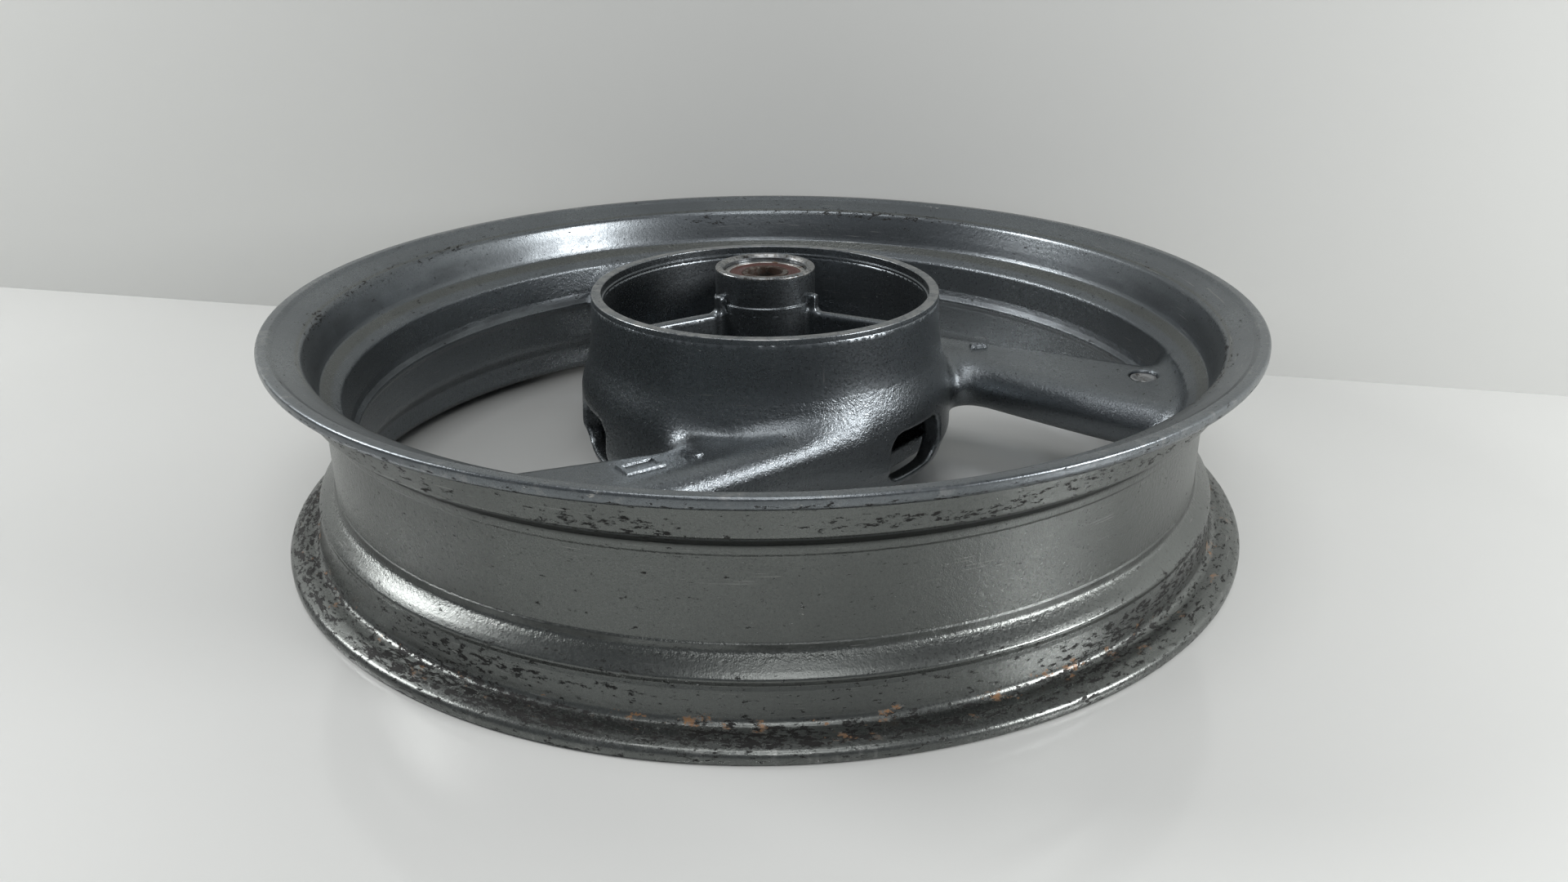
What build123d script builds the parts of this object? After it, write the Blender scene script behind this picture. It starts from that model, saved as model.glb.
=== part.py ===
from build123d import *
import os
from math import cos, radians, sin

# Driving dimensions in millimetres, angles in degrees.
# The wheel lies on its disc side: +Z is the axle axis, Z = 0 is the floor under the lower flange.

# Rim
rim_width = 88.9  # between the two bead faces
seat_radius = 218.3  # bead seat at the flange
flange_height = 14.0  # lip crest above the bead seat
flange_thick = 7.35  # bead face to the outside of the flange
lip_thick = 5.0
well_depth = 9.9  # drop from the bead seat to the well
rim_wall = 8.0  # thickness of the rim behind the well
well_shoulder = 29.2  # well's upper shoulder below the top of the rim
well_floor = 34.5  # well's lower shoulder above the floor
seat_width = 22.0  # seat and flange together, measured in from the outside
seat_taper = 1.8
ridge_height = 3.2  # joint ridge round the inside of the rim
ridge_width = 7.0
inner_edge = 14.2  # lip crest to the rounded inner edge of the flange, along the radius
inner_edge_drop = 6.1
valve_radius = 5.75
valve_rise = 11.0  # above the joint ridge
valve_azimuth = 84.0

# Hub
cup_radius = 84.0
cup_wall = 4.7
cup_top = 107.3
ledge_depth = 4.0  # turned band inside the cup's mouth
ledge_step = 0.7
cup_draft = 1.0  # how much the cup narrows down to its floor
cup_floor_top = 61.5
cup_floor_thick = 5.0
skirt_radius = 91.9  # widest place, at the windows
skirt_widest = 43.0
skirt_bottom = 28.5
skirt_lip = 4.4  # how far the lower edge draws in
skirt_wall = 9.5
boss_radius = 24.65
boss_top = 117.6
boss_bottom = 13.5
boss_step = 102.7  # turned above, as cast below
boss_step_depth = 0.6
boss_chamfer = 1.0
core_bore = 16.5  # radius of the way between the bearings
rib_thick = 5.0
rib_top = 98.5
rib_azimuth = -28.0
pilaster_top = 107.0
pilaster_reach = 3.2

# Disc side
plate_thick = 11.0
plate_bottom = 20.0
plate_chord = 64.0  # axle axis to each straight side of the plate
disc_flange_radius = 62.0
disc_flange_face = 12.5
disc_bolt_circle = 105.0
disc_bolts = 5
disc_thread_radius = 3.4  # core of an M8 thread
disc_thread_depth = 14.0

# Spokes
spokes = 3
spoke_heading = -31.0
spoke_outer_hub = 91.5  # axle axis to the spoke's outer side, where it leaves the skirt
spoke_outer_rim = 105.0  # and at the rim
spoke_inner_hub = 68.0  # axle axis to its inner side
spoke_inner_rim = 43.0
spoke_height = 27.0
spoke_corner = 10.5
spoke_middle = 51.8
spoke_flare = 11.0  # how far its outer end spreads where it runs into the rim
root_shoulder = 9.0  # how far its root rises over the spoke, where it runs out of the hub
spoke_wall = 5.5
core_start = 100.0  # hollow of the spoke, along its heading
core_finish = 172.0
spoke_bury = 4.5  # how far a spoke's end stays short of the well

# Cast marks on one spoke: a small raised pad and a half-moon dent
marked_spoke = 2
pad_along = 99.6
pad_aside = 73.4
pad_length = 18.0
pad_width = 11.0
pad_height = 1.0
moon_along = 76.0
moon_aside = 70.6
moon_radius = 5.5
moon_depth = 0.7

# Windows through the skirt
window_azimuth = -38.5
window_width = 41.0
window_bottom = 33.0
window_top = 56.5
window_corner = 9.0

# Core plugs
plug_radius = 6.5
plug_inset = 22.4  # from the well in to the middle of the plug
plug_azimuth = -4.5
plug_thick = 1.6
plug_sink = 1.5

# Bearings: deep-groove, 17 x 40 x 12, with a seal on the outer side
bearing_bore = 17.0
bearing_outer = 40.0
bearing_width = 12.0
inner_race = 11.2
outer_race = 17.2
balls = 8
ball_sides = 8
race_clearance = 0.04
bearing_sink = 3.0  # bearing face below each end of the boss
seal_thick = 1.0
seal_sink = 0.4
seal_gap = 0.05
cage_thick = 1.6
cage_prong = 2.0  # how far the prongs reach past the middle of the balls
cage_gap = 0.1
cage_bridge = 0.9  # what joins the pockets behind the balls
tube_radius = 11.3

# Worked-out places
outer_width = rim_width + 2 * flange_thick
lip_radius = seat_radius + flange_height
crest = lip_radius - lip_thick / 2
well_radius = seat_radius - well_depth
wall_radius = well_radius - rim_wall
rim_middle = outer_width / 2
turn = 360 / spokes
cup_inner = cup_radius - cup_wall
cup_cast = cup_inner - ledge_step
cup_floor_radius = cup_cast - cup_draft
cup_floor_bottom = cup_floor_top - cup_floor_thick
skirt_inner = skirt_radius - skirt_wall
skirt_flare = skirt_radius - cup_radius
cup_depth = cup_top - cup_floor_top
plate_top = plate_bottom + plate_thick
race_pitch = (inner_race + outer_race) / 2
ball_radius = (outer_race - inner_race) / 2 - race_clearance
upper_face = boss_top - bearing_sink
lower_face = boss_bottom + bearing_sink
spoke_reach = well_radius - spoke_bury
spoke_top = spoke_middle + spoke_height / 2
plug_centre = well_radius - plug_inset

os.makedirs("parts", exist_ok=True)


def around(radius, azimuth, z=0.0):
    """A point at a radius and an azimuth from the axle axis."""
    return (radius * cos(radians(azimuth)), radius * sin(radians(azimuth)), z)


def across(azimuth, radius, z):
    """Upright plane facing outwards at an azimuth: X along the circle, Y up."""
    outwards = Vector(*around(1, azimuth))
    sideways = Vector(*around(1, azimuth + 90))
    return Plane(origin=outwards * radius + Vector(0, 0, z), x_dir=sideways, z_dir=outwards)


def spoke_section(index, along, spread=0.0, rise=0.0, inset=0.0):
    """Outline of spoke number index at a distance along its heading, spread by a flare or drawn in by a wall."""
    heading = spoke_heading + index * turn
    share = along / well_radius
    outer = spoke_outer_hub + (spoke_outer_rim - spoke_outer_hub) * share + spread - inset
    inner = spoke_inner_hub + (spoke_inner_rim - spoke_inner_hub) * share - spread + inset
    height = spoke_height + spread + rise - 2 * inset
    ahead = Vector(*around(1, heading))
    left = Vector(*around(1, heading + 90))
    centre = ahead * along + left * (outer + inner) / 2 + Vector(0, 0, spoke_middle)
    with BuildSketch(Plane(origin=centre, x_dir=left, z_dir=ahead)) as outline:
        RectangleRounded(outer - inner, height, spoke_corner - inset)
    return outline.sketch


def on_spoke(index, along, aside):
    """Level plane on top of spoke number index, at a distance along its heading and to the left of it."""
    heading = spoke_heading + index * turn
    ahead = Vector(*around(1, heading))
    left = Vector(*around(1, heading + 90))
    return Plane(origin=ahead * along + left * aside + Vector(0, 0, spoke_top), x_dir=ahead, z_dir=(0, 0, 1))


def ball_points():
    """Corners of a many-sided ball: its two poles and three circles of latitude."""
    rings = [(sin(radians(tilt)), cos(radians(tilt))) for tilt in (-45, 0, 45)]
    corners = [
        around(ball_radius * reach, side * 360 / ball_sides, ball_radius * rise)
        for rise, reach in rings
        for side in range(ball_sides)
    ]
    return corners + [(0, 0, ball_radius), (0, 0, -ball_radius)]


# Wheel casting: rim, spokes, hub and disc plate in one piece
with BuildPart() as wheel_casting:
    # Spokes, each a ruled loft that runs out of the hub along the skirt and flares into the rim
    for index in range(spokes):
        root = spoke_section(index, 0, rise=root_shoulder)
        shoulder = spoke_section(index, 0.25 * well_radius, rise=root_shoulder / 3)
        neck = spoke_section(index, 0.4 * well_radius)
        toe = spoke_section(index, 0.78 * well_radius)
        foot = spoke_section(index, 0.9 * well_radius, spread=spoke_flare / 3)
        end = spoke_section(index, well_radius, spread=spoke_flare)
        loft([root, shoulder, neck, toe, foot, end], ruled=True)
    Cylinder(spoke_reach, outer_width, align=(Align.CENTER, Align.CENTER, Align.MIN), mode=Mode.INTERSECT)

    # Rim: one turned section, tyre side first, down to the floor and back up the air side
    with BuildSketch(Plane.XZ) as rim_section:
        with BuildLine():
            Polyline(
                (crest, outer_width),
                (lip_radius, outer_width - 0.35 * lip_thick),
                (lip_radius, outer_width - 0.75 * lip_thick),
                (seat_radius + flange_height / 2, outer_width - flange_thick),
                (seat_radius, outer_width - flange_thick - seat_taper),
                (seat_radius - seat_taper, outer_width - seat_width),
                (well_radius, outer_width - well_shoulder),
                (well_radius, well_floor),
                (seat_radius - seat_taper, seat_width + 2 * seat_taper),
                (seat_radius - seat_taper, seat_width),
                (seat_radius, flange_thick + seat_taper),
                (seat_radius + flange_height / 2, flange_thick),
                (lip_radius, 0.75 * lip_thick),
                (lip_radius, 0.35 * lip_thick),
                (crest, 0),
                (well_radius + 0.8, inner_edge_drop),
                (well_radius + 0.4, seat_width - 2),
                (wall_radius, well_shoulder),
                (wall_radius - 1, rim_middle - ridge_width / 2),
                (wall_radius - ridge_height, rim_middle),
                (wall_radius - 1, rim_middle + ridge_width / 2),
                (wall_radius, outer_width - well_shoulder - 1),
                (well_radius + 1.3, outer_width - seat_width - 1.5),
                (crest - inner_edge, outer_width - inner_edge_drop),
                (crest - inner_edge / 2, outer_width - 0.35 * inner_edge_drop),
                close=True,
            )
        make_face()
    revolve(axis=Axis.Z)

    # Hub: cup, flared skirt and the walls inside them, down to the open lower edge
    with BuildSketch(Plane.XZ) as hub_section:
        with BuildLine():
            Polyline(
                (0, skirt_bottom),
                (skirt_radius - skirt_lip, skirt_bottom),
                (skirt_radius - skirt_lip / 2, skirt_bottom + 0.5 * (skirt_widest - skirt_bottom)),
                (skirt_radius, skirt_widest),
                (cup_radius + 0.75 * skirt_flare, cup_floor_top),
                (cup_radius + 0.18 * skirt_flare, cup_floor_top + 0.45 * cup_depth),
                (cup_radius, cup_top),
                (0, cup_top),
                close=True,
            )
        make_face()
    revolve(axis=Axis.Z)
    with BuildSketch(Plane.XZ) as cup_hollow:
        with BuildLine():
            Polyline(
                (0, cup_floor_top),
                (cup_floor_radius, cup_floor_top),
                (cup_cast, cup_top - ledge_depth),
                (cup_inner, cup_top - ledge_depth),
                (cup_inner, cup_top),
                (0, cup_top),
                close=True,
            )
        make_face()
    revolve(axis=Axis.Z, mode=Mode.SUBTRACT)
    with BuildSketch(Plane.XZ) as hub_hollow:
        with BuildLine():
            Polyline(
                (0, 0),
                (skirt_inner - skirt_lip / 2, 0),
                (skirt_inner - skirt_lip / 2, skirt_bottom),
                (skirt_inner, skirt_widest),
                (skirt_inner - cup_floor_thick, cup_floor_bottom),
                (0, cup_floor_bottom),
                close=True,
            )
        make_face()
    revolve(axis=Axis.Z, mode=Mode.SUBTRACT)

    # Disc side: a three-cornered plate that reaches the skirt between the windows, and the disc flange
    with BuildSketch(Plane.XY.offset(plate_bottom)) as plate:
        Circle(skirt_inner)
        for index in range(spokes):
            with Locations(Plane.XY.rotated((0, 0, window_azimuth + index * turn))):
                with Locations((plate_chord + skirt_radius / 2, 0)):
                    Rectangle(skirt_radius, 2 * skirt_radius, mode=Mode.SUBTRACT)
    extrude(amount=plate_thick)
    with BuildSketch(Plane.XY.offset(disc_flange_face)) as disc_flange:
        Circle(disc_flange_radius)
    extrude(amount=plate_top - disc_flange_face)

    # Bearing boss through the hub, turned a little smaller above its step
    with BuildSketch(Plane.XZ) as boss_section:
        with BuildLine():
            Polyline(
                (0, boss_bottom),
                (boss_radius, boss_bottom),
                (boss_radius, boss_step),
                (boss_radius - boss_step_depth, boss_step),
                (boss_radius - boss_step_depth, boss_top - boss_chamfer),
                (boss_radius - boss_step_depth - boss_chamfer, boss_top),
                (0, boss_top),
                close=True,
            )
        make_face()
    revolve(axis=Axis.Z)

    # Cup ribs: upright webs from the boss to the cup wall, with a pilaster up the boss
    for index in range(spokes):
        azimuth = rib_azimuth + index * turn
        along_rib = Plane(origin=(0, 0, 0), x_dir=around(1, azimuth), z_dir=around(-1, azimuth + 90))
        with BuildSketch(along_rib) as rib_side:
            with BuildLine():
                Polyline(
                    (boss_radius - 2, cup_floor_top - 1),
                    (boss_radius - 2, pilaster_top),
                    (boss_radius + pilaster_reach, pilaster_top),
                    (boss_radius + pilaster_reach, rib_top + 3),
                    (boss_radius + 2 * pilaster_reach, rib_top),
                    (cup_cast + 1, rib_top),
                    (cup_cast + 1, cup_floor_top - 1),
                    close=True,
                )
            make_face()
        extrude(amount=rib_thick / 2, both=True)

    # Windows through the skirt
    for index in range(spokes):
        middle = (window_bottom + window_top) / 2
        with BuildSketch(across(window_azimuth + index * turn, plate_chord + 3, middle)) as window:
            RectangleRounded(window_width, window_top - window_bottom, window_corner)
        extrude(amount=skirt_radius, mode=Mode.SUBTRACT)

    # Bearing seats and the way through for the axle
    with Locations((0, 0, upper_face - bearing_width), (0, 0, boss_bottom - 1)):
        Cylinder(
            bearing_outer / 2,
            bearing_width + bearing_sink + 1,
            align=(Align.CENTER, Align.CENTER, Align.MIN),
            mode=Mode.SUBTRACT,
        )
    Cylinder(core_bore, 2 * boss_top, mode=Mode.SUBTRACT)

    # Hollow of each spoke, open at its core hole near the rim
    for index in range(spokes):
        ends = (core_start, core_finish)
        loft([spoke_section(index, along, inset=spoke_wall) for along in ends], ruled=True, mode=Mode.SUBTRACT)
        with BuildSketch(Plane.XY.offset(spoke_middle)) as core_hole:
            with Locations(around(plug_centre, plug_azimuth + index * turn)):
                Circle(plug_radius)
        extrude(amount=spoke_height / 2 + spoke_flare, mode=Mode.SUBTRACT)

    # Cast marks
    with BuildSketch(on_spoke(marked_spoke, pad_along, pad_aside)) as pad:
        Rectangle(pad_length, pad_width)
    extrude(amount=pad_height, both=True)
    with BuildSketch(on_spoke(marked_spoke, moon_along, moon_aside)) as half_moon:
        Circle(moon_radius)
        with Locations((-moon_radius, 0)):
            Rectangle(2 * moon_radius, 2 * moon_radius, mode=Mode.SUBTRACT)
    extrude(amount=moon_depth, both=True, mode=Mode.SUBTRACT)

    # Tapped disc holes
    with BuildSketch(Plane.XY.offset(disc_flange_face)) as disc_holes:
        with PolarLocations(disc_bolt_circle / 2, disc_bolts, start_angle=90):
            Circle(disc_thread_radius)
    extrude(amount=disc_thread_depth, mode=Mode.SUBTRACT)

    # Valve hole through the well
    with BuildSketch(across(valve_azimuth, wall_radius - 6, rim_middle + valve_rise)) as valve_hole:
        Circle(valve_radius)
    extrude(amount=2 * rim_wall, mode=Mode.SUBTRACT)

wheel_casting.part.label = "wheel_casting"
export_step(wheel_casting.part, "parts/wheel_casting.step")


# Core plugs: pressed discs that close the core holes
plug_top = spoke_top - plug_sink
for index in range(spokes):
    with BuildPart() as core_plug:
        with BuildSketch(Plane.XY.offset(plug_top - plug_thick)) as plug_disc:
            with Locations(around(plug_centre, plug_azimuth + index * turn)):
                Circle(plug_radius)
        extrude(amount=plug_thick)
    core_plug.part.label = f"core_plug_{index + 1}"
    export_step(core_plug.part, f"parts/core_plug_{index + 1}.step")

# Bearings: the sprocket side's outer face looks up, the disc side's looks down
for side, face, inwards in (("sprocket", upper_face, -1), ("disc", lower_face, 1)):
    middle = face + inwards * bearing_width / 2

    # Outer ring
    with BuildPart() as outer_ring:
        with BuildSketch(Plane.XY.offset(face)) as outer_section:
            Circle(bearing_outer / 2)
            Circle(outer_race, mode=Mode.SUBTRACT)
        extrude(amount=inwards * bearing_width)
    outer_ring.part.label = f"{side}_bearing_outer_ring"
    export_step(outer_ring.part, f"parts/{side}_bearing_outer_ring.step")

    # Inner ring
    with BuildPart() as inner_ring:
        with BuildSketch(Plane.XY.offset(face)) as inner_section:
            Circle(inner_race)
            Circle(bearing_bore / 2, mode=Mode.SUBTRACT)
        extrude(amount=inwards * bearing_width)
    inner_ring.part.label = f"{side}_bearing_inner_ring"
    export_step(inner_ring.part, f"parts/{side}_bearing_inner_ring.step")

    # Balls, drawn with small flats on circles of latitude
    with BuildPart() as ball_set:
        for index in range(balls):
            with Locations(around(race_pitch, index * 360 / balls, middle)):
                ConvexPolyhedron(ball_points())
    ball_set.part.label = f"{side}_bearing_balls"
    export_step(ball_set.part, f"parts/{side}_bearing_balls.step")

    # Cage: a moulded crown whose prongs reach between the balls from the bearing's inner side
    with BuildPart() as cage:
        with BuildSketch(Plane.XY.offset(middle - inwards * cage_prong)) as cage_ring:
            Circle(race_pitch + cage_thick / 2)
            Circle(race_pitch - cage_thick / 2, mode=Mode.SUBTRACT)
        extrude(amount=inwards * (cage_prong + ball_radius + cage_gap + cage_bridge))
        with BuildSketch(Plane.XY.offset(middle - inwards * cage_prong)) as pockets:
            with PolarLocations(race_pitch, balls):
                Rectangle(2 * cage_thick, 2 * (ball_radius + cage_gap))
        extrude(amount=inwards * (cage_prong + ball_radius + cage_gap), mode=Mode.SUBTRACT)
    cage.part.label = f"{side}_bearing_cage"
    export_step(cage.part, f"parts/{side}_bearing_cage.step")

    # Seal in the outer face
    with BuildPart() as seal:
        with BuildSketch(Plane.XY.offset(face + inwards * seal_sink)) as seal_ring:
            Circle(outer_race)
            Circle(inner_race + seal_gap, mode=Mode.SUBTRACT)
        extrude(amount=inwards * seal_thick)
    seal.part.label = f"{side}_bearing_seal"
    export_step(seal.part, f"parts/{side}_bearing_seal.step")

# Distance tube between the two inner rings
with BuildPart() as distance_tube:
    with BuildSketch(Plane.XY.offset(lower_face + bearing_width)) as tube_ring:
        Circle(tube_radius)
        Circle(bearing_bore / 2, mode=Mode.SUBTRACT)
    extrude(amount=upper_face - lower_face - 2 * bearing_width)
distance_tube.part.label = "distance_tube"
export_step(distance_tube.part, "parts/distance_tube.step")
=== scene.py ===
"""Visual model of a cast motorcycle wheel rim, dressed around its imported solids.

Sections and fields are written in millimetres and become metres when a mesh is made.
The wheel lies on its disc side: +Z is the axle axis and the camera stands on the -Y side.
"""
import logging
import math
from dataclasses import dataclass
from enum import Enum
from functools import partial
from typing import Callable, Sequence

import bmesh
import bpy
import numpy as np
from mathutils import Matrix, Vector


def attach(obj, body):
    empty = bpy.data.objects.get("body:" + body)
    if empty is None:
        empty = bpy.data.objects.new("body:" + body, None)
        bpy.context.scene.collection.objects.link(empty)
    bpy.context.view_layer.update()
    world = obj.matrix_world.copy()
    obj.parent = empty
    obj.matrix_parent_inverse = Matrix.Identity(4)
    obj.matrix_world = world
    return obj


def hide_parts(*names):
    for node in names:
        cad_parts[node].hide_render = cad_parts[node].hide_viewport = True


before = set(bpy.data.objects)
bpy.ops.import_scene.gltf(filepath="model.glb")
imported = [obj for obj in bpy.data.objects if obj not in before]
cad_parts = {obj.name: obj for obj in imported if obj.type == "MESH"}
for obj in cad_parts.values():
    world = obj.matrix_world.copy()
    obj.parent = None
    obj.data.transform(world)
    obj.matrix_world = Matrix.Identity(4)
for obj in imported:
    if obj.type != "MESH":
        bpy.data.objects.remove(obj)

LOG = logging.getLogger("wheel_rim")
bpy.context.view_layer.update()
MM = 0.001
SPOKES = 3
TURN = 360 / SPOKES
SHARP_TURN = math.radians(38)

Corner = tuple[float, float, float]
Colour = tuple[float, float, float]
Place = tuple[float, float, float]
Pair = tuple[float, float]
Array = np.ndarray
Material = bpy.types.Material
Piece = bpy.types.Object
Socket = bpy.types.NodeSocket


class Body(Enum):
    """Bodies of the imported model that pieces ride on."""

    WHEEL = "wheel"
    SLEEVE = "axle_sleeve"
    UPPER_BALLS = "sprocket_ball_set"
    LOWER_BALLS = "disc_ball_set"


class Slot(Enum):
    """Material slots of the record."""

    CASTING = "painted_casting"
    STEEL = "bearing_steel"
    SEAL = "seal_rubber"
    PLUG = "plug_metal"


# Shader building

SOFT_STEP = {"interpolation_type": "SMOOTHSTEP"}


class Level:
    """One grey value in a node tree, with operators that add Math nodes."""

    def __init__(self, shader: "Shader", socket: Socket) -> None:
        """Wraps a socket of a shader's tree."""
        self.shader = shader
        self.socket = socket

    def _with(self, operation: str, *others: "Level | float") -> "Level":
        """Adds a Math node on this value and others."""
        return self.shader.maths(operation, self, *others)

    def __add__(self, other: "Level | float") -> "Level":
        """Sum."""
        return self._with("ADD", other)

    __radd__ = __add__

    def __mul__(self, other: "Level | float") -> "Level":
        """Product."""
        return self._with("MULTIPLY", other)

    __rmul__ = __mul__

    def __sub__(self, other: "Level | float") -> "Level":
        """Difference."""
        return self._with("SUBTRACT", other)

    def __rsub__(self, other: float) -> "Level":
        """Difference from a number."""
        return self.shader.maths("SUBTRACT", other, self)

    def above(self, low: float, high: float) -> "Level":
        """0 under low, 1 over high, and a soft step between them."""
        sockets = {"Value": self, "From Min": low, "From Max": high}
        return Level(self.shader, self.shader.node("ShaderNodeMapRange", SOFT_STEP, sockets).outputs["Result"])

    def within(self, low: float, high: float, soft: float) -> "Level":
        """1 from low to high, and 0 outside, with soft edges."""
        return self.above(low - soft, low + soft) * (1 - self.above(high - soft, high + soft))

    def most(self, other: "Level | float") -> "Level":
        """The larger of two values."""
        return self._with("MAXIMUM", other)


class Shader:
    """A material's node tree, with the measures of the wheel that its masks use."""

    def __init__(self, name: str) -> None:
        """Starts a material that holds one Principled shader.

        Args:
            name: The material's name.
        """
        self.material = bpy.data.materials.new(name)
        self.material.use_nodes = True
        self.tree = self.material.node_tree
        self.surface = next(n for n in self.tree.nodes if n.type == "BSDF_PRINCIPLED")
        self.place = self.node("ShaderNodeTexCoord", {}, {}).outputs["Object"]
        parts = self.node("ShaderNodeSeparateXYZ", {}, {"Vector": self.place})
        self.x, self.y, self.z = (Level(self, parts.outputs[i]) for i in range(3))
        self.radius = self.maths("SQRT", self.x * self.x + self.y * self.y)
        self.azimuth = self.maths("ARCTAN2", self.y, self.x)

    def node(self, kind: str, settings: dict, sockets: dict) -> bpy.types.Node:
        """Adds a node.

        Args:
            kind: The node's type.
            settings: Properties that are set first.
            sockets: Values or links of its inputs, by name or number.

        Returns:
            The new node.
        """
        node = self.tree.nodes.new(kind)
        for key, value in settings.items():
            setattr(node, key, value)
        for key, value in sockets.items():
            socket = value.socket if isinstance(value, Level) else value
            if isinstance(socket, Socket):
                self.tree.links.new(socket, node.inputs[key])
            else:
                node.inputs[key].default_value = socket
        return node

    def maths(self, operation: str, *values: "Level | float") -> Level:
        """Adds a Math node on one to three values."""
        sockets = dict(enumerate(values))
        return Level(self, self.node("ShaderNodeMath", {"operation": operation}, sockets).outputs[0])

    def stretched(self, along: float, across: float, up: float) -> Socket:
        """Coordinates that run round the wheel, with a scale for each direction.

        Args:
            along: Scale along the circle.
            across: Scale along the radius.
            up: Scale along the axle axis.

        Returns:
            A vector socket.
        """
        mean_radius = 0.2
        sockets = {
            0: self.azimuth * (along * mean_radius),
            1: self.radius * across,
            2: self.z * up,
        }
        return self.node("ShaderNodeCombineXYZ", {}, sockets).outputs[0]

    def noise(
        self, scale: float, detail: float = 3, rough: float = 0.55, vector: Socket | None = None
    ) -> Level:
        """Adds a noise of about 0.5 on average.

        Args:
            scale: Features per metre, or per unit of the given vector.
            detail: Octaves.
            rough: Share that each octave keeps.
            vector: Coordinates other than the object's own.

        Returns:
            The noise's value.
        """
        sockets = {"Vector": vector or self.place, "Scale": scale, "Detail": detail, "Roughness": rough}
        return Level(self, self.node("ShaderNodeTexNoise", {}, sockets).outputs[0])

    def blend(self, factor: Level, first: object, second: object) -> Socket:
        """Mixes two colours.

        Args:
            factor: 0 for the first colour, 1 for the second.
            first: A colour or a colour socket.
            second: A colour or a colour socket.

        Returns:
            The mixed colour.
        """
        pair = [(*c, 1.0) if isinstance(c, tuple) else c for c in (first, second)]
        sockets = {0: factor, 6: pair[0], 7: pair[1]}
        return self.node("ShaderNodeMix", {"data_type": "RGBA"}, sockets).outputs[2]

    def shade(self, colour: Socket, level: Level) -> Socket:
        """Multiplies a colour by a grey value."""
        grey = self.node("ShaderNodeCombineXYZ", {}, {0: level, 1: level, 2: level}).outputs[0]
        return self.node("ShaderNodeVectorMath", {"operation": "MULTIPLY"}, {0: colour, 1: grey}).outputs[0]

    def relief(self, height: Level, depth: float, under: Socket | None = None) -> Socket:
        """Adds a bump.

        Args:
            height: Its height, from 0 to 1.
            depth: What a height of 1 stands for, in metres.
            under: Another bump that it lies on.

        Returns:
            The bumped normal.
        """
        sockets = {"Height": height, "Distance": depth, "Strength": 1.0}
        if under is not None:
            sockets["Normal"] = under
        return self.node("ShaderNodeBump", {}, sockets).outputs[0]

    def finish(self, **sockets: object) -> Material:
        """Sets the surface's sockets and gives the material.

        Args:
            sockets: Values or links, named like the sockets with _ for a space.

        Returns:
            The finished material.
        """
        for key, value in sockets.items():
            target = self.surface.inputs[key.replace("_", " ")]
            value = value.socket if isinstance(value, Level) else value
            if isinstance(value, Socket):
                self.tree.links.new(value, target)
            else:
                target.default_value = value
        return self.material


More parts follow.
